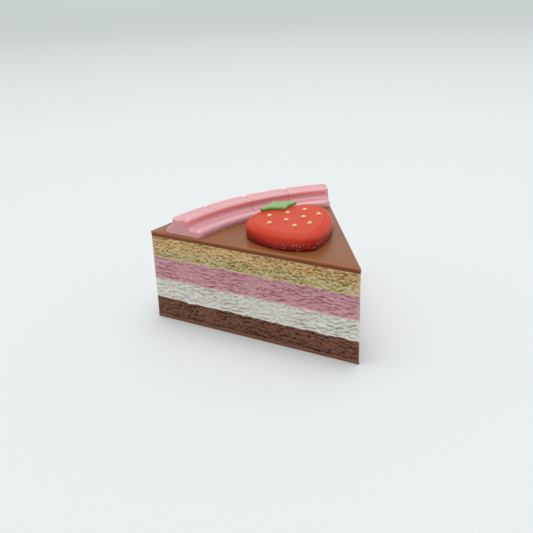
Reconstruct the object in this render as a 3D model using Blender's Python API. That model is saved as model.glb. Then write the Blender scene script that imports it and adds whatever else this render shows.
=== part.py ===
# Toy slice of layer cake, printed in coloured plastic: four crumbly layers, a smooth brown top,
# a pink piped border along the back, and a flat strawberry with seeds and a leaf.
# The slice stands on z = 0, its tip towards -Y and its curved back towards +Y.

import bpy
import bmesh
import math
from mathutils import Matrix, Vector, noise

MM = 0.001

# Wedge seen from above: two straight cut sides and an arc at the back
SIDE = 60.2 * MM
WEDGE_ANGLE = math.radians(56.5)
BACK_RADIUS = 71.7 * MM
CORNER_CUT = 0.25 * MM

# Heights of the joints between the layers, and the play left at each of them
BASE_TOP = 6.15 * MM
CREAM_TOP = 11.9 * MM
PINK_TOP = 18.1 * MM
SPONGE_TOP = 23.9 * MM
GLAZE_TOP = 25.3 * MM
GAP = 0.3 * MM

# Crumb on the sides of the four layers
CRUMB_DEPTH = 0.32 * MM
CRUMB_WIDTH = 1.5 * MM
CRUMB_HEIGHT = 0.75 * MM
CRUMB_COLUMN = 1.9 * MM
CRUMB_ROWS = 5
BASE_LIP = 0.45 * MM

# Piped border: its section is drawn as (distance in from the back edge, height over the glaze) in millimetres
BORDER_SECTION = [
    (15.6, 0.3), (15.55, 0.8), (14.9, 1.45), (14.0, 1.55), (12.7, 1.65), (11.7, 2.6), (12.0, 3.8), (11.3, 4.5),
    (9.4, 4.45), (7.2, 4.55), (6.3, 4.0), (6.95, 2.8), (6.2, 1.8), (5.2, 1.5), (4.65, 0.9), (4.75, 0.3)]
BORDER_LOBES = 4
BORDER_STEPS = 8
BORDER_SETBACK = 0.2 * MM
BORDER_ROUNDING = 0.7 * MM
NOTCH_DEPTH = 0.4 * MM
NOTCH_REACH = 1.3 * MM

# Strawberry: its outline is drawn as (sideways, distance from the tip of the slice) in millimetres
BERRY_OUTLINE = [
    (-2.1, 15.1), (2.3, 17.0), (5.7, 19.4), (9.1, 22.6), (11.9, 27.2), (13.2, 31.5), (12.4, 35.2), (9.6, 37.5),
    (6.0, 37.9), (2.8, 38.2), (-0.6, 39.6), (-4.4, 38.8), (-8.6, 36.0), (-11.0, 31.8), (-11.0, 26.6), (-9.3, 21.0),
    (-6.0, 16.9)]
BERRY_HEIGHT = 4.05 * MM
BERRY_ROUNDING = 1.5 * MM

# Seeds in three rows: (sideways, distance from the tip of the slice) in millimetres, all turned alike
SEEDS = [
    (-2.8, 33.9), (2.2, 32.9), (7.2, 32.3),
    (-5.8, 29.2), (-1.25, 28.4), (3.7, 27.7), (8.0, 27.2),
    (-2.05, 23.6), (2.15, 23.0)]
SEED_TURN = math.radians(-9)
SEED_SIZE = (1.4 * MM, 1.15 * MM, 0.45 * MM)

# Leaf: its outline is drawn as (sideways, distance from the tip of the slice) in millimetres
LEAF_OUTLINE = [
    (-3.05, 38.0), (-2.6, 38.5), (0.6, 40.0), (2.5, 40.8), (3.3, 41.4), (3.9, 40.6), (5.3, 39.4), (7.5, 38.2),
    (8.0, 37.5), (7.2, 37.1), (5.6, 36.7), (4.2, 36.2), (3.0, 34.9), (2.4, 34.8), (2.0, 35.5), (1.2, 36.8),
    (-0.2, 37.5), (-2.4, 37.55)]
LEAF_TOP = 5.0 * MM
LEAF_ROUNDING = 0.15 * MM

# Sizes worked out from the ones above
HALF_ANGLE = WEDGE_ANGLE / 2
SHARP_TIP = -CORNER_CUT * math.cos(HALF_ANGLE)
CORNER = Vector((SIDE * math.sin(HALF_ANGLE), SHARP_TIP + SIDE * math.cos(HALF_ANGLE)))
ARC_CENTRE = CORNER.y - math.sqrt(BACK_RADIUS ** 2 - CORNER.x ** 2)
ARC_HALF = math.asin(CORNER.x / BACK_RADIUS)
MIDDLE = (ARC_CENTRE + BACK_RADIUS) / 2


def clear_scene():
    for item in list(bpy.data.objects):
        bpy.data.objects.remove(item, do_unlink=True)


def paint(name, colour, roughness):
    material = bpy.data.materials.new(name)
    material.use_nodes = True
    shader = material.node_tree.nodes["Principled BSDF"]
    shader.inputs["Base Color"].default_value = (*colour, 1.0)
    shader.inputs["Roughness"].default_value = roughness
    shader.inputs["Metallic"].default_value = 0.0
    return material


def add_object(name, shape, material, smooth_angle=None):
    bmesh.ops.recalc_face_normals(shape, faces=shape.faces)
    mesh = bpy.data.meshes.new(name)
    shape.to_mesh(mesh)
    shape.free()
    if smooth_angle is not None:
        mesh.shade_smooth()
        mesh.set_sharp_from_angle(angle=math.radians(smooth_angle))
    item = bpy.data.objects.new(name, mesh)
    bpy.context.scene.collection.objects.link(item)
    item.data.materials.append(material)
    return item


def on_slice(x, y, z):
    """A place given from the tip of the slice, moved so that the slice's middle is at the origin."""
    return Vector((x, y - MIDDLE, z))


def smooth_curve(points, steps, closed):
    """Points along a smooth curve through the given ones."""
    count = len(points)
    spans = count if closed else count - 1
    curve = []
    for i in range(spans):
        if closed:
            a, b, c, d = (Vector(points[(i + k) % count]) for k in (-1, 0, 1, 2))
        else:
            a, b, c, d = (Vector(points[min(max(i + k, 0), count - 1)]) for k in (-1, 0, 1, 2))
        for step in range(steps):
            t = step / steps
            curve.append(0.5 * (2 * b + (c - a) * t + (2 * a - 5 * b + 4 * c - d) * t ** 2
                                + (3 * b - a - 3 * c + d) * t ** 3))
    if not closed:
        curve.append(Vector(points[-1]))
    return curve


def wrapped_grid(columns, rows, place):
    """A tube of columns by rows faces, closed at both ends; place(i, j) gives each corner's position."""
    shape = bmesh.new()
    bmesh.ops.create_grid(shape, x_segments=columns, y_segments=rows, size=0.5)
    for vert in shape.verts:
        column = round((vert.co.x + 0.5) * columns) % columns
        row = round((vert.co.y + 0.5) * rows)
        vert.co = place(column, row)
    bmesh.ops.remove_doubles(shape, verts=shape.verts, dist=0.0001 * MM)
    bmesh.ops.holes_fill(shape, edges=shape.edges, sides=0)
    return shape


def wedge_outline(step):
    """The wedge's edge from the tip round to the tip again, as (place, way out)."""
    tip = Vector((0, SHARP_TIP))
    right = Vector((math.sin(HALF_ANGLE), math.cos(HALF_ANGLE)))
    left = Vector((-right.x, right.y))
    right_out = Vector((right.y, -right.x))
    left_out = Vector((-right.y, -right.x))
    straight = SIDE - 2 * CORNER_CUT
    side_steps = round(straight / step)
    arc_half = ARC_HALF - CORNER_CUT / BACK_RADIUS
    arc_steps = round(2 * arc_half * BACK_RADIUS / step)
    outline = []
    for i in range(side_steps + 1):
        along = CORNER_CUT + straight * i / side_steps
        outline.append((tip + right * along, right_out))
    for i in range(arc_steps + 1):
        angle = arc_half * (1 - 2 * i / arc_steps)
        out = Vector((math.sin(angle), math.cos(angle)))
        outline.append((Vector((0, ARC_CENTRE)) + out * BACK_RADIUS, out))
    for i in range(side_steps + 1):
        along = SIDE - CORNER_CUT - straight * i / side_steps
        outline.append((tip + left * along, left_out))
    return outline


def crumb(index, height, seed):
    """How far the cut surface lies inside the wedge's edge."""
    spot = Vector((index * CRUMB_COLUMN / CRUMB_WIDTH, height / CRUMB_HEIGHT, seed))
    return CRUMB_DEPTH * (0.5 + 0.5 * max(-1.0, min(1.0, 1.8 * noise.noise(spot))))


def crumbly_layer(name, bottom, top, material, seed):
    """One layer of the slice; the lowest one stands on a smooth lip."""
    outline = wedge_outline(CRUMB_COLUMN)
    lip = BASE_LIP if bottom == 0 else 0.0
    low = lip if lip else bottom + GAP / 2
    high = top - GAP / 2
    levels = [low + (high - low) * row / CRUMB_ROWS for row in range(CRUMB_ROWS + 1)]
    if lip:
        levels = [0.0, 0.8 * lip] + levels

    def place(column, row):
        point, out = outline[column]
        depth = 0.0 if levels[row] < lip else crumb(column, levels[row], seed)
        spot = point - out * depth
        return on_slice(spot.x, spot.y, levels[row])

    add_object(name, wrapped_grid(len(outline), len(levels) - 1, place), material)


def glaze(material):
    outline = wedge_outline(6 * MM)
    edge = 0.25 * MM
    levels = [(SPONGE_TOP + GAP / 2, 0.0), (GLAZE_TOP - edge, 0.0), (GLAZE_TOP - 0.3 * edge, 0.3 * edge),
              (GLAZE_TOP, edge)]

    def place(column, row):
        point, out = outline[column]
        height, inset = levels[row]
        spot = point - out * inset
        return on_slice(spot.x, spot.y, height)

    add_object("glaze_top", wrapped_grid(len(outline), len(levels) - 1, place), material, 40)


def border_shrink(along, lobe_length):
    """How far the border's skin dips near its ends and at the notches between its lobes."""
    lobe = along / lobe_length
    nearest = abs(lobe - round(lobe)) * lobe_length
    at_end = round(lobe) in (0, BORDER_LOBES)
    if at_end:
        inside = max(0.0, BORDER_ROUNDING - nearest)
        return BORDER_ROUNDING - math.sqrt(BORDER_ROUNDING ** 2 - inside ** 2)
    return NOTCH_DEPTH * max(0.0, 1 - nearest / NOTCH_REACH) ** 2


def piped_border(material):
    section = smooth_curve([(x * MM, z * MM) for x, z in BORDER_SECTION], 2, closed=False)
    widest = max(p.x for p in section)
    narrowest = min(p.x for p in section)
    middle = (widest + narrowest) / 2
    half_width = (widest - narrowest) / 2
    foot = min(p.y for p in section)
    height = max(p.y for p in section) - foot
    stations = BORDER_LOBES * BORDER_STEPS
    mean_radius = BACK_RADIUS - middle
    lobe_length = 2 * ARC_HALF * mean_radius / BORDER_LOBES
    setback = BORDER_SETBACK + (SHARP_TIP - ARC_CENTRE) * math.sin(HALF_ANGLE)

    def place(column, row):
        lobe, step = divmod(row, BORDER_STEPS)
        share = step / BORDER_STEPS
        crowded = share - 0.8 * math.sin(2 * math.pi * share) / (2 * math.pi)
        along = (lobe + crowded) * lobe_length
        shrink = border_shrink(along, lobe_length)
        point = section[column]
        inward = middle + (point.x - middle) * (1 - shrink / half_width)
        rise = foot + (point.y - foot) * (1 - shrink / height)
        radius = BACK_RADIUS - inward
        end_angle = HALF_ANGLE - math.asin(setback / radius)
        angle = end_angle * (2 * along / (lobe_length * BORDER_LOBES) - 1)
        return on_slice(radius * math.sin(angle), ARC_CENTRE + radius * math.cos(angle), GLAZE_TOP + rise)

    add_object("piped_border", wrapped_grid(len(section), stations, place), material, 50)


def rounded_plate(outline, bottom, top, rounding, segments):
    """A plate of the given outline whose upper edge is rounded over."""
    shape = bmesh.new()
    corners = [shape.verts.new(on_slice(p.x, p.y, bottom)) for p in outline]
    floor = shape.faces.new(corners)
    lifted = bmesh.ops.extrude_face_region(shape, geom=[floor], use_keep_orig=True)["geom"]
    roof_verts = [item for item in lifted if isinstance(item, bmesh.types.BMVert)]
    bmesh.ops.translate(shape, verts=roof_verts, vec=(0, 0, top - bottom))
    brim = [edge for edge in shape.edges if all(abs(v.co.z - top) < 0.001 * MM for v in edge.verts)]
    bmesh.ops.bevel(shape, geom=brim, offset=rounding, offset_type="OFFSET", segments=segments, profile=0.5,
                    affect="EDGES", material=-1, clamp_overlap=True)
    return shape


def seed_domes(collection, material):
    for index, (x, y) in enumerate(SEEDS):
        shape = bmesh.new()
        bmesh.ops.create_uvsphere(shape, u_segments=8, v_segments=6, radius=0.5)
        bmesh.ops.scale(shape, verts=shape.verts, vec=(SEED_SIZE[0], SEED_SIZE[1], 2 * SEED_SIZE[2]))
        bmesh.ops.rotate(shape, verts=shape.verts, matrix=Matrix.Rotation(SEED_TURN, 3, "Z"))
        bmesh.ops.translate(shape, verts=shape.verts, vec=on_slice(x * MM, y * MM, GLAZE_TOP + BERRY_HEIGHT))
        seed = add_object("seed_%d" % index, shape, material, 50)
        bpy.context.scene.collection.objects.unlink(seed)
        collection.objects.link(seed)


def fuse(item, collection):
    """Joins the collection's objects to the item, keeps the joined mesh and removes the loose objects."""
    union = item.modifiers.new("seeds", "BOOLEAN")
    union.operation = "UNION"
    union.solver = "EXACT"
    union.operand_type = "COLLECTION"
    union.collection = collection
    bpy.context.view_layer.update()
    evaluated = item.evaluated_get(bpy.context.evaluated_depsgraph_get())
    joined = bpy.data.meshes.new_from_object(evaluated)
    item.modifiers.remove(union)
    item.data = joined
    for part in list(collection.objects):
        bpy.data.objects.remove(part, do_unlink=True)
    bpy.data.collections.remove(collection)


def strawberry(material):
    outline = smooth_curve([(x * MM, y * MM) for x, y in BERRY_OUTLINE], 4, closed=True)
    shape = rounded_plate(outline, GLAZE_TOP + GAP, GLAZE_TOP + BERRY_HEIGHT, BERRY_ROUNDING, 5)
    berry = add_object("strawberry", shape, material, 50)
    seeds = bpy.data.collections.new("seeds")
    bpy.context.scene.collection.children.link(seeds)
    seed_domes(seeds, material)
    fuse(berry, seeds)


def leaf(material):
    outline = smooth_curve([(x * MM, y * MM) for x, y in LEAF_OUTLINE], 2, closed=True)
    shape = rounded_plate(outline, GLAZE_TOP + BERRY_HEIGHT + GAP, GLAZE_TOP + LEAF_TOP, LEAF_ROUNDING, 2)
    add_object("leaf", shape, material, 50)


def build():
    clear_scene()
    crumbly_layer("base_layer", 0.0, BASE_TOP, paint("brown_crumb", (0.14, 0.055, 0.034), 0.7), 1.3)
    crumbly_layer("cream_layer", BASE_TOP, CREAM_TOP, paint("white_crumb", (0.72, 0.72, 0.68), 0.65), 5.7)
    crumbly_layer("pink_layer", CREAM_TOP, PINK_TOP, paint("pink_crumb", (0.66, 0.26, 0.34), 0.65), 9.1)
    crumbly_layer("sponge_layer", PINK_TOP, SPONGE_TOP, paint("tan_crumb", (0.56, 0.40, 0.19), 0.65), 12.9)
    glaze(paint("brown_glaze", (0.25, 0.11, 0.06), 0.35))
    piped_border(paint("pink_icing", (0.80, 0.38, 0.43), 0.35))
    strawberry(paint("strawberry_red", (0.60, 0.05, 0.02), 0.4))
    leaf(paint("leaf_green", (0.20, 0.46, 0.14), 0.4))


build()
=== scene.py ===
import math
import bpy
import bmesh
from mathutils import Matrix, Vector, noise


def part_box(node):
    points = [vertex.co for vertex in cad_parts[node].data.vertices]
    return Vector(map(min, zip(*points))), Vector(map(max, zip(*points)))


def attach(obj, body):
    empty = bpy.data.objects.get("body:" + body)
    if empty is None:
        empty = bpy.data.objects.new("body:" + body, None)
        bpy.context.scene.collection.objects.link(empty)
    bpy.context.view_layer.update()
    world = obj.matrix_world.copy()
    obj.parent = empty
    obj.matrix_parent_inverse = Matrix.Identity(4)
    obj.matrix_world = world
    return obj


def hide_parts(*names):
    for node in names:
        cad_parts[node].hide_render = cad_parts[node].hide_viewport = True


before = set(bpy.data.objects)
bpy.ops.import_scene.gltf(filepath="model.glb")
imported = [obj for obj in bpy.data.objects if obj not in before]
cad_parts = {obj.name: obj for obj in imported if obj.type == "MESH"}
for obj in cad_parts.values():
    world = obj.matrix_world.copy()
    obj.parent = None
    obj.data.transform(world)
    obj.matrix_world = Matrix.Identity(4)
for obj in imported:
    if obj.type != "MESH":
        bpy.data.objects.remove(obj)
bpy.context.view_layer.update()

mm = 0.001


# Small helpers for numbers, colours, curves and meshes

def clamp(value):
    return min(1.0, max(0.0, value))


def fade(distance, reach):
    # 1 at a place, down to 0 at the reach
    return max(0.0, 1 - distance / reach)


def terraced(rise, line, strength):
    # a height drawn towards the nearest printed line, so that a slope becomes low steps
    return rise + strength * math.sin(2 * math.pi * rise / line) * line / (2 * math.pi)


def fromScreen(red, green, blue):
    # a screen colour, 0 to 255, as the linear colour that a shader takes
    def linear(value):
        share = value / 255
        return share / 12.92 if share <= 0.04045 else ((share + 0.055) / 1.055) ** 2.4
    return (linear(red), linear(green), linear(blue), 1.0)


def smoothCurve(points, steps, closed):
    # points along a smooth curve through the given ones
    count = len(points)
    curve = []
    for i in range(count if closed else count - 1):
        if closed:
            a, b, c, d = (Vector(points[(i + k) % count]) for k in (-1, 0, 1, 2))
        else:
            a, b, c, d = (Vector(points[min(max(i + k, 0), count - 1)]) for k in (-1, 0, 1, 2))
        for step in range(steps):
            t = step / steps
            curve.append(0.5 * (2 * b + (c - a) * t + (2 * a - 5 * b + 4 * c - d) * t ** 2
                                + (3 * b - a - 3 * c + d) * t ** 3))
    if not closed:
        curve.append(Vector(points[-1]))
    return curve


def inwardReach(points, deepest, closed):
    # at each point, the way in, to the left, and how far it goes before it meets another side's
    margin = 0.8                 # it stops a little short of that place
    level = 0.02 * mm            # points no further in than this count as its own side
    last = len(points) - 1
    reach = []
    for i, point in enumerate(points):
        if closed:
            along = points[(i + 1) % len(points)] - points[i - 1]
        else:
            along = points[min(i + 1, last)] - points[max(i - 1, 0)]
        inward = Vector((-along.y, along.x)).normalized()
        far = deepest
        for other in points:
            across = other - point
            ahead = across.dot(inward)
            if ahead > level:
                far = min(far, margin * across.length_squared / (2 * ahead))
        reach.append((inward, far))
    smooth = []
    for i, (inward, far) in enumerate(reach):
        if closed:
            around = [(i + k) % len(points) for k in (-2, -1, 0, 1, 2)]
        else:
            around = [min(max(i + k, 0), last) for k in (-2, -1, 0, 1, 2)]
        smooth.append((inward, min(far, sum(reach[k][1] for k in around) / len(around))))
    return smooth


def wrappedGrid(columns, rows, place):
    # a tube of columns by rows faces, closed at both ends
    # place(column, row) gives a corner, and the painted shading there: a colour, or a depth that sets the
    # painted shade in the pits
    shape = bmesh.new()
    bmesh.ops.create_grid(shape, x_segments=columns, y_segments=rows, size=0.5)
    paint = shape.verts.layers.float_vector.new("paint")
    for vert in shape.verts:
        column = round((vert.co.x + 0.5) * columns) % columns
        row = round((vert.co.y + 0.5) * rows)
        vert.co, vert[paint] = place(column, row)
    seam = [vert for vert in shape.verts if vert.is_boundary]
    bmesh.ops.remove_doubles(shape, verts=seam, dist=0.0001 * mm)
    bmesh.ops.holes_fill(shape, edges=shape.edges, sides=0)
    return shape


def finishPiece(shape, name, material, sharpAngle):
    bmesh.ops.recalc_face_normals(shape, faces=shape.faces)
    mesh = bpy.data.meshes.new(name)
    shape.to_mesh(mesh)
    shape.free()
    mesh.shade_smooth()
    mesh.set_sharp_from_angle(angle=math.radians(sharpAngle))
    piece = bpy.data.objects.new(name, mesh)
    bpy.context.scene.collection.objects.link(piece)
    mesh.materials.append(material)
    print(name, "has", len(mesh.polygons), "faces")
    return piece


def seat(piece, node):
    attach(piece, "root")
    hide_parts(node)


# Small helpers for materials

def newMaterial(name):
    material = bpy.data.materials.new(name)
    material.use_nodes = True
    tree = material.node_tree
    return material, tree.nodes, tree.links, tree.nodes["Principled BSDF"]


def setShader(shader, roughness, specular=0.5, coat=0.0, glow=0.0):
    shader.inputs["Roughness"].default_value = roughness
    shader.inputs["Specular IOR Level"].default_value = specular
    shader.inputs["Coat Weight"].default_value = coat
    shader.inputs["Coat Roughness"].default_value = roughness
    shader.inputs["Subsurface Weight"].default_value = glow
    shader.inputs["Subsurface Scale"].default_value = plastic["glowDepth"]


def mixNode(nodes, links, blend, factor, first, second):
    mix = nodes.new("ShaderNodeMix")
    mix.data_type = "RGBA"
    mix.blend_type = blend
    for socket, value in ((0, factor), (6, first), (7, second)):
        if hasattr(value, "is_linked"):
            links.new(value, mix.inputs[socket])
        else:
            mix.inputs[socket].default_value = value
    return mix.outputs[2]


def noiseNode(nodes, links, coordinates, scale, detail=2.0, stretch=(1, 1, 1)):
    mapping = nodes.new("ShaderNodeMapping")
    mapping.inputs["Scale"].default_value = stretch
    links.new(coordinates, mapping.inputs["Vector"])
    texture = nodes.new("ShaderNodeTexNoise")
    texture.inputs["Scale"].default_value = scale
    texture.inputs["Detail"].default_value = detail
    links.new(mapping.outputs["Vector"], texture.inputs["Vector"])
    return texture.outputs["Fac"]


def rangeNode(nodes, links, value, low, high, toLow=0.0, toHigh=1.0):
    node = nodes.new("ShaderNodeMapRange")
    node.inputs["From Min"].default_value = low
    node.inputs["From Max"].default_value = high
    node.inputs["To Min"].default_value = toLow
    node.inputs["To Max"].default_value = toHigh
    links.new(value, node.inputs["Value"])
    return node.outputs["Result"]


def productNode(nodes, links, first, *others):
    # the product of several values
    for other in others:
        product = nodes.new("ShaderNodeMath")
        product.operation = "MULTIPLY"
        links.new(first, product.inputs[0])
        links.new(other, product.inputs[1])
        first = product.outputs[0]
    return first


def heightNode(nodes, links, place):
    split = nodes.new("ShaderNodeSeparateXYZ")
    links.new(place, split.inputs["Vector"])
    return split.outputs["Z"]


def wayNode(nodes, links, coordinates, direction):
    # how far a place lies along a direction
    way = nodes.new("ShaderNodeVectorMath")
    way.operation = "DOT_PRODUCT"
    way.inputs[1].default_value = direction
    links.new(coordinates, way.inputs[0])
    return way.outputs["Value"]


# The smooth plastic of the top, the border, the strawberry, the seeds and the leaf

plastic = {
    "cloudRange": (0.35, 0.65),  # of the noise, over which one colour turns into the other
    "glowDepth": 1.5 * mm,       # how far light gets into it
    # the fine lines on the top faces
    "fadeHeight": 0.05 * mm,     # over which they fade in below a top face
    "patchScale": 180, "patchRange": (0.35, 0.6),
    "weakest": 0.3,              # their share where they are faintest
    "bumpHeight": 0.01 * mm,
}


def printLines(nodes, links, place, look):
    # fine parallel lines on a top face, running at a turn from +X, stronger in some patches
    mapping = nodes.new("ShaderNodeMapping")
    mapping.inputs["Rotation"].default_value = (0, 0, -look["lineTurn"])
    links.new(place, mapping.inputs["Vector"])
    wave = nodes.new("ShaderNodeTexWave")
    wave.bands_direction = "Y"
    wave.inputs["Scale"].default_value = math.pi / (10 * look["lineGap"])
    wave.inputs["Distortion"].default_value = 0.0
    links.new(mapping.outputs["Vector"], wave.inputs["Vector"])
    height = heightNode(nodes, links, place)
    onTop = rangeNode(nodes, links, height, look["lineFrom"] - plastic["fadeHeight"], look["lineFrom"])
    cloud = noiseNode(nodes, links, place, plastic["patchScale"], 1.0)
    patch = rangeNode(nodes, links, cloud, *plastic["patchRange"], plastic["weakest"], 1.0)
    return productNode(nodes, links, wave.outputs["Fac"], onTop, patch)


def paintedShadingByHeight(nodes, links, place, colour, paintedShading):
    # paints light and shade by height, darkening or tinting the colour: the stops are (height,
    # multiplying colour) from the foot up
    low, high = paintedShading[0][0], paintedShading[-1][0]
    spot = rangeNode(nodes, links, heightNode(nodes, links, place), low, high)
    ramp = nodes.new("ShaderNodeValToRGB")
    ramp.color_ramp.interpolation = "EASE"
    while len(ramp.color_ramp.elements) < len(paintedShading):
        ramp.color_ramp.elements.new(0.5)
    for element, (height, shade) in zip(ramp.color_ramp.elements, paintedShading):
        element.position = (height - low) / (high - low)
        element.color = (*shade, 1.0)
    links.new(spot, ramp.inputs["Fac"])
    return mixNode(nodes, links, "MULTIPLY", 1.0, colour, ramp.outputs["Color"])


def specks(nodes, links, place, colour, look):
    # pale specks low on one side
    cells = nodes.new("ShaderNodeTexVoronoi")
    cells.inputs["Scale"].default_value = 1 / look["speckGap"]
    links.new(place, cells.inputs["Vector"])
    dot = rangeNode(nodes, links, cells.outputs["Distance"], *look["speckEdge"], 1.0, 0.0)
    height = heightNode(nodes, links, place)
    top = look["speckTop"]
    low = rangeNode(nodes, links, height, top - look["speckFade"], top, 1.0, 0.0)
    cloud = noiseNode(nodes, links, place, look["speckPatchScale"], 1.0)
    some = rangeNode(nodes, links, cloud, *look["speckPatchRange"])
    way = wayNode(nodes, links, place, look["speckWay"])
    front = rangeNode(nodes, links, way, look["speckFrom"], look["speckTo"])
    share = productNode(nodes, links, dot, low, some, front)
    return mixNode(nodes, links, "MIX", share, colour, fromScreen(*look["speckColour"]))


def smoothMaterial(name, look):
    material, nodes, links, shader = newMaterial(name)
    coat, glow = look.get("coat", 0.0), look.get("glow", 0.0)
    setShader(shader, look["roughness"], look["specular"], coat, glow)
    place = nodes.new("ShaderNodeTexCoord").outputs["Object"]
    cloud = noiseNode(nodes, links, place, look["cloudScale"], 3.0)
    blend = rangeNode(nodes, links, cloud, *plastic["cloudRange"])
    colour = mixNode(nodes, links, "MIX", blend, fromScreen(*look["colour"]), fromScreen(*look["second"]))
    # painted light and shade by height
    if "paintedShading" in look:
        colour = paintedShadingByHeight(nodes, links, place, colour, look["paintedShading"])
    # painted light and shade across the border's section, read from the paint attribute
    if "paintedShadingShare" in look:
        paint = nodes.new("ShaderNodeAttribute")
        paint.attribute_name = "paint"
        colour = mixNode(nodes, links, "MIX", look["paintedShadingShare"], colour, paint.outputs["Color"])
    if "speckTop" in look:
        colour = specks(nodes, links, place, colour, look)
    if "lineGap" in look:
        lines = printLines(nodes, links, place, look)
        bump = nodes.new("ShaderNodeBump")
        bump.inputs["Strength"].default_value = look["lineStrength"]
        bump.inputs["Distance"].default_value = plastic["bumpHeight"]
        links.new(lines, bump.inputs["Height"])
        links.new(bump.outputs["Normal"], shader.inputs["Normal"])
        tint = rangeNode(nodes, links, lines, 0.0, 1.0, 1.0, 1 - look["lineTint"])
        colour = mixNode(nodes, links, "MULTIPLY", 1.0, colour, tint)
    links.new(colour, shader.inputs["Base Color"])
    return material


# The slice seen from above

wedge = {
    "halfAngle": math.radians(28.25),   # half the angle at the tip
    "backRadius": 71.7 * mm,
    "rounding": 0.2 * mm,               # of the three upright corners
    "turnSteps": 3,                     # round each back corner, and twice as many round the tip
}

glazeLow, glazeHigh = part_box("glaze_top")
glazeTop = glazeHigh.z
tipY = glazeLow.y
arcCentreY = glazeHigh.y - wedge["backRadius"]


def wedgePath(step):
    # the outline, inset by the rounding of its corners, from the tip round to the tip again:
    # (point, way out, length so far, length to the nearest corner)
    half, inner, turnSteps = wedge["halfAngle"], wedge["rounding"], wedge["turnSteps"]
    radius = wedge["backRadius"] - inner
    tip = Vector((0, tipY + inner))
    side = Vector((math.sin(half), math.cos(half)))
    fromCentre = tip.y - arcCentreY
    length = -fromCentre * side.y + math.sqrt(radius ** 2 - (fromCentre * side.x) ** 2)
    corner = tip + side * length
    leftCorner = Vector((-corner.x, corner.y))
    arcHalf = math.asin(corner.x / radius)
    sideSteps = round(length / step)
    arcSteps = round(2 * arcHalf * radius / step)
    rightTurn, backTurn = -half, math.pi / 2 - arcHalf

    path = []

    def add(point, turn):
        path.append((point, Vector((math.cos(turn), math.sin(turn)))))

    for i in range(sideSteps + 1):
        add(tip + side * (length * i / sideSteps), rightTurn)
    for i in range(1, turnSteps):
        add(corner, rightTurn + (backTurn - rightTurn) * i / turnSteps)
    for i in range(arcSteps + 1):
        angle = arcHalf * (1 - 2 * i / arcSteps)
        x, y = radius * math.sin(angle), arcCentreY + radius * math.cos(angle)
        add(Vector((x, y)), math.pi / 2 - angle)
    for i in range(1, turnSteps):
        add(leftCorner, math.pi - backTurn + (backTurn - rightTurn) * i / turnSteps)
    for i in range(sideSteps + 1):
        add(leftCorner + Vector((side.x, -side.y)) * (length * i / sideSteps), math.pi - rightTurn)
    for i in range(1, 2 * turnSteps):
        add(tip, math.pi - rightTurn + (math.pi + 2 * rightTurn) * i / (2 * turnSteps))

    outline = []
    along = 0.0
    corners = (tip, corner, leftCorner)
    for i, (point, out) in enumerate(path):
        if i:
            before = path[i - 1][0] + path[i - 1][1] * inner
            along += (point + out * inner - before).length
        nearest = min((point - c).length for c in corners)
        outline.append((point, out, along, nearest))
    return outline


# The four crumbly layers: a skin of drooping wrinkles and pits, laid down in fine printed lines

crumb = {
    "lineHeight": 0.2 * mm,      # of one printed line
    "lineFlat": (0.3, 0.72),     # shares of its height between which a line stands out most
    "valley": 0.03 * mm,         # between two lines
    "topValley": 0.6,            # share of a valley along the top of a layer
    "columnStep": 0.24 * mm,
    "jitter": 0.05 * mm,         # by which each line wobbles on its own
    "jitterSize": (0.7, 0.37),   # of that wobble: in millimetres along, and in lines up
    "cornerDepth": 0.10 * mm,    # at the upright corners, which stay crisp
    "cornerSlope": 0.5,          # by which the depth may grow away from them
    "jointShare": 0.25,          # of the relief right at a joint between two layers
    "jointReach": 0.5 * mm,
    "sag": 0.32 * mm,            # by which the joints between the layers dip and rise
    "sagWaves": [(1.0, 3.5, 4.7), (0.8, 1.1, 8.3)],      # (share, length in millimetres, seed)
    # the smooth lip along the foot of the lowest layer, and the shallow groove over it
    "lipWobble": 0.35, "lipChamfer": 0.16 * mm, "lipSlope": 0.9, "lipPit": 0.12,
    "lipGroove": 0.22, "lipGrooveAt": 0.35 * mm, "lipGrooveReach": 0.45 * mm,
    # how wide and tall the soft waves in the skin are, in millimetres
    "swaySize": (4.0, 3.0), "shiftSize": (1.2, 0.8), "clusterSize": (7.0, 3.0),
    "grainSize": (0.55, 0.3), "unevenSize": (6.0, 3.0), "wrinkleTall": 1.6,
    "shift": 0.35,               # by which the wrinkles are pushed along, in millimetres
    "netGain": 3, "netMean": 0.65,       # the net is stretched, and then set about 0
    "cluster": 0.12,             # by which the holes keep together
    # finish
    "specular": 0.4,
    "wanderScale": 110,          # of the line where one colour turns into the other
    "patchScale": 330, "patchStretch": (1, 1, 2.6), "patchRange": (0.45, 0.65),
    "streakScale": 900, "streakStretch": (1, 1, 4), "streakRange": (0.3, 0.7),
    "pitShadeFrom": 0.25,             # depth at which the painted pit shade sets in
    "headShare": 0.55,           # of the tint along the joint above
}

crumbPath = wedgePath(crumb["columnStep"])


def rough(along, z, wide, tall, seed):
    # soft random heights, about wide by tall, at a place on the unrolled side
    return noise.noise(Vector((along / wide, z / tall, seed)))


def wrinkles(along, z, long, period, seed):
    # level ridges, one above the other, that start, end and merge anywhere
    one = rough(along, z, long, crumb["wrinkleTall"], 3 * seed)
    other = rough(along, z, long, crumb["wrinkleTall"], 5 * seed)
    turn = 2 * math.pi * z / period
    turn -= one * math.sin(turn) + other * math.cos(turn)
    return one * math.sin(turn) + other * math.cos(turn)


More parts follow.
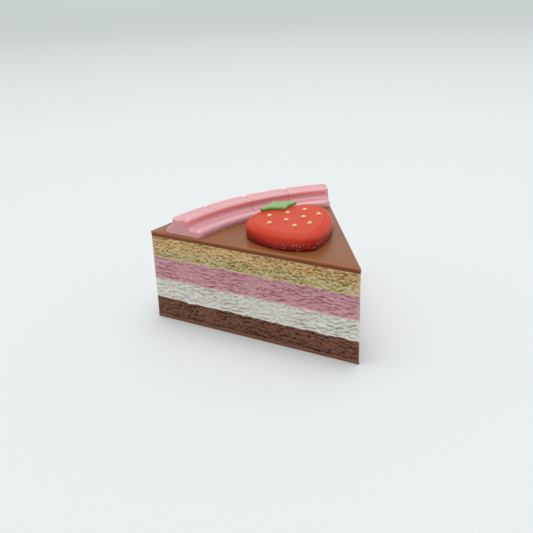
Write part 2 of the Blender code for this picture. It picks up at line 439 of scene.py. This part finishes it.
def crumbRelief(along, z, look):
    # how deep the skin lies at a place, from 0 on the wrinkles to 1 in the pits
    along, z, seed = along / mm, z / mm, look["seed"]
    z += look["sway"] * rough(along, z, *crumb["swaySize"], seed)
    along += crumb["shift"] * rough(along, z, *crumb["shiftSize"], 2 * seed)
    value = look["fold"] * wrinkles(along, z, look["long"], look["period"], seed)
    net = abs(rough(along, z, look["wide"], look["tall"], 7 * seed))
    value += look["net"] * (crumb["netGain"] * net - crumb["netMean"])
    hole = rough(along, z, look["holeWide"], look["holeTall"], 11 * seed)
    hole += crumb["cluster"] * rough(along, z, *crumb["clusterSize"], 9 * seed)
    value += look["holes"] * max(0.0, hole - look["holesOver"])
    value += look["grain"] * rough(along, z, *crumb["grainSize"], 13 * seed)
    strength = 1 + look["uneven"] * rough(along, z, *crumb["unevenSize"], 15 * seed)
    return clamp(look["level"] + 0.5 * strength * value) ** look["bite"]


def jointSag(along, z):
    # how far the joint at a height dips or rises at a place, as a share of the largest sag
    waves = crumb["sagWaves"]
    return sum(share * rough(along / mm, z / mm, long, 1.0, seed) for share, long, seed in waves)


def crumbLayer(name, node, bottom, top, sags, look, material):
    # sags are the largest sags of its lower and upper joint
    count = round((top - bottom) / crumb["lineHeight"])
    height = (top - bottom) / count
    rows = []   # (height, line, share of the valley)
    for j in range(count):
        rows.append((bottom + j * height, j, 1.0))
        rows += [(bottom + (j + share) * height, j, 0.0) for share in crumb["lineFlat"]]
    rows.append((top, count - 1, crumb["topValley"]))
    lip = look.get("lip", 0.0)
    tip = crumbPath[0][0]

    def place(column, row):
        point, out, along, nearest = crumbPath[column]
        z, j, valley = rows[row]
        pit = crumbRelief(along, z - look["lean"] * (point - tip).length, look)
        if lip:
            pit += crumb["lipGroove"] * fade(abs(z - lip - crumb["lipGrooveAt"]), crumb["lipGrooveReach"])
        pit *= min(1.0, crumb["jointShare"] + min(z - bottom, top - z) / crumb["jointReach"])
        wobble = crumb["jitter"] * (0.5 + rough(along / mm, j, *crumb["jitterSize"], look["seed"]))
        depth = look["setIn"] + look["fuzz"] * pit + wobble
        if z < lip:
            depth = crumb["lipWobble"] * wobble + max(0.0, crumb["lipChamfer"] - crumb["lipSlope"] * z)
            pit = crumb["lipPit"]
        depth += valley * crumb["valley"]
        depth = min(max(depth, 0.0), crumb["cornerDepth"] + crumb["cornerSlope"] * nearest)
        spot = point + out * (wedge["rounding"] - depth)
        share = (z - bottom) / (top - bottom)
        z += sags[0] * jointSag(along, bottom) * (1 - share) + sags[1] * jointSag(along, top) * share
        # the depth also goes out as the share of painted shade in the pits
        return Vector((spot.x, spot.y, z)), Vector((pit, pit, pit))

    shape = wrappedGrid(len(crumbPath), len(rows) - 1, place)
    piece = finishPiece(shape, name, material, sharpAngle=75)
    seat(piece, node)


def crumbMaterial(name, look, bottom, top):
    material, nodes, links, shader = newMaterial(name)
    setShader(shader, look["roughness"], crumb["specular"])
    place = nodes.new("ShaderNodeTexCoord").outputs["Object"]
    height = heightNode(nodes, links, place)
    wavy = nodes.new("ShaderNodeMath")
    wavy.operation = "MULTIPLY_ADD"
    wavy.inputs[1].default_value = (top - bottom) * look["wander"]
    links.new(noiseNode(nodes, links, place, crumb["wanderScale"]), wavy.inputs[0])
    links.new(height, wavy.inputs[2])
    middle = bottom + (top - bottom) * (look["turn"] + 0.5 * look["wander"])
    spread = look["spread"]
    blend = rangeNode(nodes, links, wavy.outputs[0], middle - spread, middle + spread)
    colour = mixNode(nodes, links, "MIX", blend, fromScreen(*look["lower"]), fromScreen(*look["upper"]))
    cloud = noiseNode(nodes, links, place, crumb["patchScale"], 3.0, crumb["patchStretch"])
    patch = rangeNode(nodes, links, cloud, *crumb["patchRange"], 0.0, look["patchShare"])
    colour = mixNode(nodes, links, "MIX", patch, colour, fromScreen(*look["patchColour"]))
    streak = noiseNode(nodes, links, place, crumb["streakScale"], 2.0, crumb["streakStretch"])
    mottle = look["mottle"]
    shade = rangeNode(nodes, links, streak, *crumb["streakRange"], 1 - mottle, 1 + mottle)
    colour = mixNode(nodes, links, "MULTIPLY", 1.0, colour, shade)
    # painted shade in the pits: the deeper the skin lies, the more of the pit colour
    pit = nodes.new("ShaderNodeAttribute")
    pit.attribute_name = "paint"
    deepShade = rangeNode(nodes, links, pit.outputs["Fac"], crumb["pitShadeFrom"], 1.0, 0.0, look["pitShadeShare"])
    colour = mixNode(nodes, links, "MIX", deepShade, colour, fromScreen(*look["pit"]))
    if "headColour" in look:
        near = rangeNode(nodes, links, height, top - look["headDepth"], top, 0.0, crumb["headShare"])
        colour = mixNode(nodes, links, "MIX", near, colour, fromScreen(*look["headColour"]))
    links.new(colour, shader.inputs["Base Color"])
    return material


# What the four looks say:
# fuzz is the depth of the skin, setIn the depth of its highest places, lean the rise of the wrinkles
# away from the tip and sway how much they meander
# fold, net, holes and grain are how much there is of each, with their sizes in millimetres:
# long and period for the folds, wide and tall for the net, holeWide and holeTall for the holes,
# which get rarer with holesOver
# uneven varies all this from place to place, level is the mean depth, and bite flattens the high places
# lower turns into upper at the share turn of the height, over spread, with wander as the turn's waves
# patch, mottle and head are paler or darker patches, fine streaks and a tint along the joint above; pit
# is a darker colour painted into the pits as shade
brownCrumb = {
    "seed": 11.3, "lean": 0.05, "fuzz": 0.62 * mm, "setIn": 0.07 * mm, "lip": 0.8 * mm,
    "long": 2.2, "period": 1.0, "sway": 0.2, "fold": 0.8, "net": 0.10, "wide": 1.0, "tall": 0.4,
    "holes": 5.0, "holesOver": 0.13, "holeWide": 0.95, "holeTall": 0.26, "grain": 0.45, "uneven": 0.8,
    "level": 0.26, "bite": 1.1,
    "lower": (135, 86, 64), "upper": (135, 86, 64), "pit": (34, 14, 10), "pitShadeShare": 0.82,
    "turn": 0.5, "spread": 1.0 * mm, "wander": 0.3, "mottle": 0.08, "roughness": 0.42,
    "patchColour": (112, 70, 54), "patchShare": 0.2,
    # a paler band along its top: partly the white above blending in, partly a painted highlight on its
    # edge
    "headColour": (160, 116, 96), "headDepth": 0.5 * mm,
}
whiteCrumb = {
    "seed": 23.1, "lean": 0.0, "fuzz": 0.62 * mm, "setIn": 0.05 * mm,
    "long": 1.7, "period": 1.2, "sway": 0.6, "fold": 1.1, "net": 0.45, "wide": 1.2, "tall": 0.55,
    "holes": 1.0, "holesOver": 0.2, "holeWide": 1.0, "holeTall": 0.4, "grain": 0.6, "uneven": 0.6,
    "level": 0.46, "bite": 1.1,
    "lower": (247, 245, 236), "upper": (247, 245, 236), "pit": (172, 166, 152), "pitShadeShare": 0.8,
    "turn": 0.5, "spread": 1.0 * mm, "wander": 0.3, "mottle": 0.03, "roughness": 0.42,
    "patchColour": (240, 234, 220), "patchShare": 0.4,
    "headColour": (226, 172, 176), "headDepth": 0.6 * mm,
}
pinkCrumb = {
    "seed": 37.7, "lean": 0.02, "fuzz": 0.62 * mm, "setIn": 0.05 * mm,
    "long": 1.9, "period": 1.1, "sway": 0.4, "fold": 0.95, "net": 0.40, "wide": 1.3, "tall": 0.42,
    "holes": 1.4, "holesOver": 0.2, "holeWide": 1.0, "holeTall": 0.35, "grain": 0.6, "uneven": 0.6,
    "level": 0.46, "bite": 1.1,
    "lower": (230, 178, 182), "upper": (228, 176, 184), "pit": (166, 84, 106), "pitShadeShare": 0.75,
    "turn": 0.5, "spread": 1.0 * mm, "wander": 0.3, "mottle": 0.05, "roughness": 0.42,
    "patchColour": (216, 142, 158), "patchShare": 0.6,
    "headColour": (206, 164, 132), "headDepth": 0.4 * mm,
}
tanCrumb = {
    "seed": 53.9, "lean": 0.13, "fuzz": 0.78 * mm, "setIn": 0.03 * mm,
    "long": 1.9, "period": 1.1, "sway": 0.5, "fold": 0.85, "net": 0.8, "wide": 1.0, "tall": 0.5,
    "holes": 2.6, "holesOver": 0.11, "holeWide": 0.8, "holeTall": 0.40, "grain": 0.5, "uneven": 0.5,
    "level": 0.38, "bite": 1.15,
    "lower": (224, 211, 158), "upper": (238, 204, 147), "pit": (126, 76, 22), "pitShadeShare": 0.68,
    "turn": 0.42, "spread": 0.8 * mm, "wander": 0.5, "mottle": 0.05, "roughness": 0.42,
    "patchColour": (226, 186, 122), "patchShare": 0.4,
}

layerPlan = [
    ("brownLayer", "base_layer", "brown_crumb", brownCrumb),
    ("whiteLayer", "cream_layer", "white_crumb", whiteCrumb),
    ("pinkLayer", "pink_layer", "pink_crumb", pinkCrumb),
    ("tanLayer", "sponge_layer", "tan_crumb", tanCrumb),
]


def makeCrumbLayers():
    # a joint lies in the middle of the play between two solids
    joints = [0.0]
    nodes = [node for _, node, _, _ in layerPlan] + ["glaze_top"]
    for lower, upper in zip(nodes, nodes[1:]):
        joints.append((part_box(lower)[1].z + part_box(upper)[0].z) / 2)
    for (name, node, slot, look), bottom, top in zip(layerPlan, joints, joints[1:]):
        material = crumbMaterial(name + "Plastic", look, bottom, top)
        sags = (crumb["sag"] if bottom > 0 else 0.0, crumb["sag"] if top < joints[-1] else 0.0)
        crumbLayer(name, node, bottom, top, sags, look, material)
    return joints[-1]


# The smooth brown top

glaze = {
    "pathStep": 1.0 * mm,
    "edge": 0.36 * mm,           # rounding of the top edge
    "edgeSteps": 8,
    "lines": 7,                  # printed lines on its side
    "rowsPerLine": 6,
    "lineDepth": 0.03 * mm, "lineSharpness": 6,
    "setIn": 0.08 * mm,          # by which its foot is set in
    "footCurve": 0.7,            # below 1, most of that is lost near the top
    "cornerSlope": 0.4,          # by which the inset may grow away from an upright corner
    "colour": (188, 121, 73), "second": (192, 124, 75), "cloudScale": 60,
    # painted light and shade down the side: darker towards its foot, a painted highlight along the
    # rounded top edge, darker again on the top face
    "paintedShading": [(glazeTop - 1.4 * mm, (0.39, 0.29, 0.22)), (glazeTop - 0.95 * mm, (0.42, 0.32, 0.24)),
               (glazeTop - 0.62 * mm, (0.55, 0.39, 0.32)), (glazeTop - 0.36 * mm, (0.79, 0.74, 0.68)),
               (glazeTop - 0.07 * mm, (0.88, 0.88, 0.96)), (glazeTop - 0.01 * mm, (0.59, 0.56, 0.51))],
    "roughness": 0.24, "specular": 0.28,
    "lineGap": 0.7 * mm, "lineTurn": math.radians(34), "lineFrom": glazeTop - 0.02 * mm,
    "lineStrength": 0.6, "lineTint": 0.22,
}


def edgeLevels(top, rounding, steps):
    # a rounded top edge, as (height, how far inside the outline)
    levels = []
    for i in range(steps + 1):
        angle = math.pi / 2 * i / steps
        levels.append((top - rounding * (1 - math.sin(angle)), rounding * (1 - math.cos(angle))))
    return levels


def makeGlaze(bottom):
    path = wedgePath(glaze["pathStep"])
    levels = []
    sideTop = glazeTop - glaze["edge"]
    steps = glaze["rowsPerLine"] * glaze["lines"]
    for i in range(steps + 1):
        z = bottom + (sideTop - bottom) * i / steps
        groove = abs(math.cos(math.pi * (glaze["lines"] * i / steps + 0.5)))
        foot = glaze["setIn"] * (1 - i / steps) ** glaze["footCurve"]
        levels.append((z, foot + glaze["lineDepth"] * groove ** glaze["lineSharpness"]))
    levels += edgeLevels(glazeTop, glaze["edge"], glaze["edgeSteps"])[1:]

    def place(column, row):
        point, out, _, nearest = path[column]
        z, inset = levels[row]
        inset = min(inset, wedge["rounding"] + glaze["cornerSlope"] * nearest)
        spot = point + out * (wedge["rounding"] - inset)
        return Vector((spot.x, spot.y, z)), Vector()

    shape = wrappedGrid(len(path), len(levels) - 1, place)
    piece = finishPiece(shape, "glaze", smoothMaterial("brownGlaze", glaze), sharpAngle=50)
    seat(piece, "glaze_top")


# The piped border

border = {
    # its section: (distance in from the back edge, height over the glaze), in millimetres
    "section": [
        (15.5, 0), (15.55, 0.5), (15.48, 1.0), (15.22, 1.5), (14.8, 1.82), (14.3, 1.96), (13.8, 1.88),
        (13.3, 1.8), (12.8, 1.86), (12.35, 2.05), (11.95, 2.42), (11.72, 2.85), (11.74, 3.3),
        (12.0, 3.75), (11.95, 4.15), (11.5, 4.46), (10.8, 4.57), (10.0, 4.44), (9.1, 4.25), (8.3, 4.3),
        (7.7, 4.5), (7.2, 4.5), (6.85, 4.15), (6.75, 3.5), (6.6, 2.95), (6.15, 2.4), (5.65, 1.95),
        (5.1, 1.5), (4.65, 1.1), (4.4, 0.6), (4.5, 0)],
    "sectionSteps": 7,
    # painted light and shade across the section: darker at the foot, paler on the foot's crest, a little
    # darker in the groove, redder in the shade under the lip
    "foot": (221, 173, 183), "crestLight": (234, 175, 183), "coveShade": (230, 163, 173), "deepShade": (247, 157, 159),
    "body": (233, 163, 168),
    # (number of a point of the section, painted shading there)
    "across": [(0, "foot"), (3, "crestLight"), (6, "crestLight"), (8, "coveShade"), (9, "coveShade"), (11, "deepShade"),
               (13, "deepShade"), (15, "body")],
    # a darker colour painted on the end faces as shade, fading out over the given distance from each end
    "endShade": (214, 139, 144), "endShadeFade": 0.8 * mm,
    "lobes": 4,
    "setback": 0.12 * mm,        # of its ends from the cut sides
    "endRounding": 0.75 * mm, "endLength": 1.5 * mm, "endSteps": 10,
    "notchDepth": 0.55 * mm, "notchReach": 1.2 * mm,     # on the outside and the top, between two lobes
    "notchFall": 1.8,                                    # above 1, its sides steepen inwards
    "insideSlope": 2.2, "insideStart": 0.3,              # how the outside turns into the inside
    "seamDepth": 0.2 * mm, "seamReach": 0.2 * mm,        # the fine seam round the inside
    "seamLean": 0.5 * mm,                                # by which it leans over towards the left end
    # where sections stand by a seam, in millimetres from it
    "seamSpots": (0, 0.05, 0.1, 0.15, 0.2, 0.3, 0.42, 0.55, 0.7, 0.9, 1.2, 1.7),
    "lineHeight": 0.2 * mm, "terrace": 0.25,             # printed lines, as low steps
    "colour": (230, 156, 160), "second": (238, 170, 174), "cloudScale": 80,
    # share of the painted light and shade across the section
    "paintedShadingShare": 0.88,
    "roughness": 0.36, "specular": 0.9, "coat": 1.0, "glow": 0.4,
}


def makeBorder():
    points = [(x * mm, z * mm) for x, z in border["section"]]
    section = smoothCurve(points, border["sectionSteps"], False)
    widest = max(p.x for p in section)
    narrowest = min(p.x for p in section)
    middle = (widest + narrowest) / 2
    half = wedge["halfAngle"]
    setback = border["setback"] + (tipY - arcCentreY) * math.sin(half)
    centreRadius = wedge["backRadius"] - middle
    length = 2 * (half - math.asin(setback / centreRadius)) * centreRadius
    lobeLength = length / border["lobes"]
    rounding = border["endRounding"]
    reach = inwardReach(section, rounding, False)
    endSteps = border["endSteps"]
    endLength = border["endLength"]

    # where its sections stand, from the left end: close together at the ends and by the seams
    ends = [endLength * (1 - math.cos(math.pi / 2 * k / endSteps)) for k in range(endSteps + 1)]
    seams = [n * mm for n in border["seamSpots"]]
    stations = []
    for lobe in range(border["lobes"]):
        first = ends if lobe == 0 else seams
        last = ends if lobe == border["lobes"] - 1 else seams
        inner = [lobeLength * n / 8 for n in range(2, 7)]
        spots = first + inner + [lobeLength - n for n in reversed(last)]
        stations += [lobe * lobeLength + n for n in spots[:-1]]
    stations.append(length)

    tints = ("foot", "crestLight", "coveShade", "deepShade", "body", "endShade")
    tint = {part: Vector(fromScreen(*border[part])[:3]) for part in tints}

    def shadingPaintAt(column, near):
        # the painted shading at a column of the section, at a distance from the nearer end
        number = column / border["sectionSteps"]
        colour = tint["foot"]
        for (first, _), (last, after) in zip(border["across"], border["across"][1:]):
            colour = colour.lerp(tint[after], clamp((number - first) / (last - first)))
        return tint["endShade"].lerp(colour, min(1.0, near / border["endShadeFade"]))

    def place(column, row):
        along = stations[row]
        point = section[column]
        inward, far = reach[column]
        near = min(along, length - along)
        paint = shadingPaintAt(column, near)
        worn = 0.0
        if near < endLength:
            worn = rounding * (1 - math.sqrt(max(0.0, 1 - (1 - near / endLength) ** 2)))
        else:
            lobe = along / lobeLength
            near = abs(lobe - round(lobe)) * lobeLength
            if 0 < round(lobe) < border["lobes"]:
                across = (point.x - narrowest) / (widest - narrowest)
                inside = clamp(across * border["insideSlope"] - border["insideStart"])
                notch = fade(near, border["notchReach"]) ** border["notchFall"]
                worn = border["notchDepth"] * notch * (1 - inside)
                worn += border["seamDepth"] * fade(near, border["seamReach"])
                along -= border["seamLean"] * inside * fade(2 * near, lobeLength)
        point = point + inward * min(worn, far)
        rise = terraced(max(0.0, point.y), border["lineHeight"], border["terrace"])
        radius = wedge["backRadius"] - point.x
        angle = (half - math.asin(setback / radius)) * (2 * along / length - 1)
        x = radius * math.sin(angle)
        y = arcCentreY + radius * math.cos(angle)
        return Vector((x, y, glazeTop + rise)), paint

    shape = wrappedGrid(len(section), len(stations) - 1, place)
    piece = finishPiece(shape, "pipedBorder", smoothMaterial("pinkIcing", border), sharpAngle=60)
    seat(piece, "piped_border")


# The strawberry

berry = {
    # its outline: (sideways, distance from the slice's tip), in millimetres
    "outline": [
        (-2.1, 15.1), (2.3, 17.0), (5.7, 19.4), (9.1, 22.6), (11.9, 27.2), (13.2, 31.5), (12.4, 35.2),
        (9.6, 37.5), (6.0, 37.9), (2.8, 38.2), (-0.6, 39.6), (-4.4, 38.8), (-8.6, 36.0), (-11.0, 31.8),
        (-11.0, 26.6), (-9.3, 21.0), (-6.0, 16.9)],
    "outlineSteps": 14,
    "height": 4.05 * mm,
    "sunk": 0.05 * mm,           # into the glaze
    "rounding": 1.5 * mm,
    "lineHeight": 0.2 * mm, "lineDepth": 0.02 * mm, "terrace": 0.6,
    "rimLine": 1.7 * mm,         # how far in the last line round its top lies
    "rimGroove": [(0.13, 0.06), (0.13, 0.14), (0.0, 0.2)],      # (depth, way further in), in millimetres
    "shoulderTurn": math.radians(70),   # by which the shoulder has turned over where it meets that line
    "shoulderSteps": 40,
    "footInset": 0.3 * mm, "footHeight": 0.7 * mm,
    "colour": (218, 62, 28), "second": (221, 67, 33), "cloudScale": 80,
    "roughness": 0.42, "specular": 0.3,
    # painted shade: darker and purpler towards its foot, and a little darker along the shoulder below the
    # rim line
    "paintedShading": [(glazeTop, (0.32, 0.04, 0.22)), (glazeTop + 0.9 * mm, (0.40, 0.10, 0.25)),
               (glazeTop + 2.3 * mm, (0.77, 0.48, 0.40)), (glazeTop + 3.4 * mm, (0.91, 0.80, 0.60)),
               (glazeTop + 3.93 * mm, (0.93, 0.84, 0.68)), (glazeTop + 4.03 * mm, (0.98, 1.0, 1.0))],
    # specks low on its front
    "speckColour": (244, 196, 186), "speckGap": 0.62 * mm,
    "speckEdge": (0.14, 0.30),   # shares of the gap between which a speck fades out
    "speckTop": glazeTop + 2.2 * mm, "speckFade": 0.6 * mm,
    "speckPatchScale": 450, "speckPatchRange": (0.40, 0.52),
    "speckWay": (-0.45, -0.89, 0.0), "speckFrom": 8.5 * mm, "speckTo": 11.5 * mm,
    "lineGap": 0.7 * mm, "lineTurn": math.radians(-56), "lineFrom": glazeTop + 4.04 * mm,
    "lineStrength": 0.4, "lineTint": 0.06,
}


def onSlice(points):
    return [(x * mm, tipY + y * mm) for x, y in points]


def printedPlate(outlinePoints, steps, levels):
    # a plate built up in levels of (height, how far inside the outline)
    outline = smoothCurve(onSlice(outlinePoints), steps, True)
    area = sum(outline[i - 1].cross(outline[i]) for i in range(len(outline)))
    if area < 0:
        outline.reverse()
    reach = inwardReach(outline, max(inset for _, inset in levels), True)

    def place(column, row):
        z, inset = levels[row]
        inward, far = reach[column]
        spot = outline[column] + inward * min(inset, far)
        return Vector((spot.x, spot.y, z)), Vector()

    return wrappedGrid(len(outline), len(levels) - 1, place)


def sideLevels(bottom, top, lineHeight, lineDepth):
    # a straight side of rounded print lines, four levels to a line
    count = max(1, round((top - bottom) / lineHeight))
    levels = []
    for i in range(4 * count):
        groove = abs(math.cos(math.pi * i / 4))
        levels.append((bottom + (top - bottom) * i / (4 * count), lineDepth * groove ** 3))
    return levels


def makeBerry():
    bottom = glazeTop - berry["sunk"]
    top = glazeTop + berry["height"]
    rounding = berry["rounding"]
    lineHeight = berry["lineHeight"]
    rimLine = berry["rimLine"]
    levels = []
    for z, inset in sideLevels(bottom, top - rounding, lineHeight, berry["lineDepth"]):
        levels.append((z, inset + berry["footInset"] * fade(z - bottom, berry["footHeight"]) ** 2))
    last = berry["shoulderTurn"]
    for i in range(berry["shoulderSteps"] + 1):
        angle = last * i / berry["shoulderSteps"]
        rise = terraced(rounding * math.sin(angle) / math.sin(last), lineHeight, berry["terrace"])
        inset = rimLine * (1 - math.cos(angle)) / (1 - math.cos(last))
        levels.append((top - rounding + min(rise, rounding), inset))
    levels += [(top - depth * mm, rimLine + further * mm) for depth, further in berry["rimGroove"]]
    shape = printedPlate(berry["outline"], berry["outlineSteps"], levels)
    piece = finishPiece(shape, "strawberryBody", smoothMaterial("strawberryRed", berry), sharpAngle=50)
    seat(piece, "strawberry")
    return top


# Its seeds

seeds = {
    # (sideways, distance from the slice's tip), in millimetres
    "places": [(-3.1, 33.6), (1.9, 32.6), (6.9, 31.9), (-6.15, 28.9), (-1.55, 28.2), (3.3, 27.4),
               (7.75, 26.8), (-2.3, 23.3), (1.85, 22.6)],
    "size": (1.36 * mm, 1.14 * mm, 0.54 * mm),
    "turn": math.radians(-9),
    "colour": (253, 230, 176), "second": (250, 223, 161), "cloudScale": 500,
    # painted shade: darker and browner on their undersides
    "paintedShading": [(glazeTop + 4.05 * mm, (0.90, 0.40, 0.18)), (glazeTop + 4.25 * mm, (0.97, 0.78, 0.60)),
               (glazeTop + 4.5 * mm, (1.0, 1.0, 1.0))],
    "roughness": 0.4, "specular": 0.5,
}


def makeSeeds(berryTop):
    shape = bmesh.new()
    width, depth, height = seeds["size"]
    for x, y in onSlice(seeds["places"]):
        verts = bmesh.ops.create_uvsphere(shape, u_segments=24, v_segments=16, radius=0.5)["verts"]
        bmesh.ops.scale(shape, verts=verts, vec=(width, depth, 2 * height))
        bmesh.ops.rotate(shape, verts=verts, matrix=Matrix.Rotation(seeds["turn"], 3, "Z"))
        bmesh.ops.translate(shape, verts=verts, vec=(x, y, berryTop))
    piece = finishPiece(shape, "strawberrySeeds", smoothMaterial("seedCream", seeds), sharpAngle=60)
    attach(piece, "root")


# Its leaf

leaf = {
    # its outline: (sideways, distance from the slice's tip), in millimetres
    "outline": [
        (-3.05, 38.0), (-2.6, 38.5), (0.6, 40.0), (2.5, 41.0), (3.2, 41.3), (3.8, 40.5), (4.3, 39.3),
        (5.6, 38.7), (7.3, 38.6), (8.1, 37.6), (7.4, 36.8), (5.6, 36.4), (4.2, 36.0), (3.0, 34.9),
        (2.4, 34.8), (1.9, 35.4), (0.9, 36.4), (-0.4, 37.2), (-2.4, 37.5)],
    "outlineSteps": 8,
    "sunk": 0.02 * mm,           # into the strawberry
    "rounding": 0.5 * mm, "edgeSteps": 6,
    "lineHeight": 0.2 * mm, "lineDepth": 0.025 * mm,
    "colour": (131, 178, 100), "second": (142, 186, 113), "cloudScale": 300,
    # painted shade: darker towards its foot
    "paintedShading": [(glazeTop + 4.05 * mm, (0.45, 0.58, 0.35)), (glazeTop + 4.7 * mm, (1.0, 1.0, 1.0))],
    "roughness": 0.4, "specular": 0.5,
    "lineGap": 0.7 * mm, "lineTurn": math.radians(34), "lineFrom": glazeTop + 4.9 * mm,
    "lineStrength": 0.4, "lineTint": 0.04,
}


def makeLeaf(berryTop):
    bottom = berryTop - leaf["sunk"]
    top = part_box("leaf")[1].z
    rounding = leaf["rounding"]
    levels = sideLevels(bottom, top - rounding, leaf["lineHeight"], leaf["lineDepth"])
    levels += edgeLevels(top, rounding, leaf["edgeSteps"])
    shape = printedPlate(leaf["outline"], leaf["outlineSteps"], levels)
    piece = finishPiece(shape, "berryLeaf", smoothMaterial("leafGreen", leaf), sharpAngle=50)
    seat(piece, "leaf")


# Floor, light and camera

studio = {
    "floorRadius": 4.0,
    # the floor is painted darker further from the slice, as shade where less light reaches it
    "floorColour": (235, 239, 240), "farShadeColour": (219, 226, 225),
    "farShadeFrom": 0.20, "farShadeTo": 0.95,                   # metres from the slice
    # painted light: paler further out, where the lamp's light runs out
    "outerLightColour": (242, 250, 246), "outerLightFrom": 0.85, "outerLightTo": 1.70,
    "paperRoughness": 0.9, "paperSpecular": 0.1,
    "behind": (0.526, 0.850, 0.0),                      # the way the camera looks, level
    "frontLight": 0.46, "backLight": 0.76,
    "lightRange": (-0.7, 0.7),                          # between which the sky's light grows that way
    "skyColour": (0.985, 1.0, 1.0, 1.0),
    "lampSize": 1.38, "lampHeight": 1.2, "lampPower": 7.7,
}


def makeFloor():
    shape = bmesh.new()
    bmesh.ops.create_circle(shape, cap_ends=True, segments=96, radius=studio["floorRadius"])
    material, nodes, links, shader = newMaterial("paper")
    setShader(shader, studio["paperRoughness"], studio["paperSpecular"])
    place = nodes.new("ShaderNodeTexCoord").outputs["Object"]
    distance = nodes.new("ShaderNodeVectorMath")
    distance.operation = "LENGTH"
    links.new(place, distance.inputs[0])
    away = distance.outputs["Value"]
    near, distantShade = fromScreen(*studio["floorColour"]), fromScreen(*studio["farShadeColour"])
    # painted shade further out
    far = rangeNode(nodes, links, away, studio["farShadeFrom"], studio["farShadeTo"])
    colour = mixNode(nodes, links, "MIX", far, near, distantShade)
    # painted light at the outer edge
    outerLight = rangeNode(nodes, links, away, studio["outerLightFrom"], studio["outerLightTo"])
    colour = mixNode(nodes, links, "MIX", outerLight, colour, fromScreen(*studio["outerLightColour"]))
    links.new(colour, shader.inputs["Base Color"])
    floor = finishPiece(shape, "paperFloor", material, sharpAngle=30)


def makeLight():
    scene = bpy.context.scene
    scene.view_settings.view_transform = "Standard"
    world = bpy.data.worlds.new("softTent")
    scene.world = world
    world.use_nodes = True
    nodes, links = world.node_tree.nodes, world.node_tree.links
    sky = nodes["Background"]
    direction = nodes.new("ShaderNodeTexCoord").outputs["Generated"]
    way = wayNode(nodes, links, direction, studio["behind"])
    low, high = studio["lightRange"]
    strength = rangeNode(nodes, links, way, low, high, studio["frontLight"], studio["backLight"])
    links.new(strength, sky.inputs["Strength"])
    sky.inputs["Color"].default_value = studio["skyColour"]
    lampData = bpy.data.lights.new("overheadSoftbox", "AREA")
    lampData.shape = "DISK"
    lampData.size = studio["lampSize"]
    lampData.energy = studio["lampPower"]
    lamp = bpy.data.objects.new("overheadSoftbox", lampData)
    lamp.location = (0, 0, studio["lampHeight"])
    scene.collection.objects.link(lamp)


camera = {
    "place": (-98.39 * mm, -147.38 * mm, 91.73 * mm),
    "yaw": math.radians(-31.76), "pitch": math.radians(-23.17), "roll": math.radians(1.90),
    "focalPixels": 727.9, "framePixels": 533,
    "sensorWidth": 36, "clipStart": 0.01, "clipEnd": 20,
}


def makeCamera():
    data = bpy.data.cameras.new("photoCamera")
    data.sensor_width = camera["sensorWidth"]
    data.lens = camera["focalPixels"] * data.sensor_width / camera["framePixels"]
    data.clip_start = camera["clipStart"]
    data.clip_end = camera["clipEnd"]
    photoCamera = bpy.data.objects.new("photoCamera", data)
    yaw = Matrix.Rotation(camera["yaw"], 4, "Z")
    pitch = Matrix.Rotation(math.pi / 2 + camera["pitch"], 4, "X")
    roll = Matrix.Rotation(-camera["roll"], 4, "Z")
    photoCamera.matrix_world = Matrix.Translation(camera["place"]) @ (yaw @ pitch @ roll)
    bpy.context.scene.collection.objects.link(photoCamera)
    bpy.context.scene.camera = photoCamera


makeCamera()
makeFloor()
makeLight()
print("camera, floor and light are ready")
layersTop = makeCrumbLayers()
print("the four crumbly layers are ready")
makeGlaze(layersTop)
makeBorder()
berryTop = makeBerry()
makeSeeds(berryTop)
makeLeaf(berryTop)
print("the top, border and strawberry are ready")
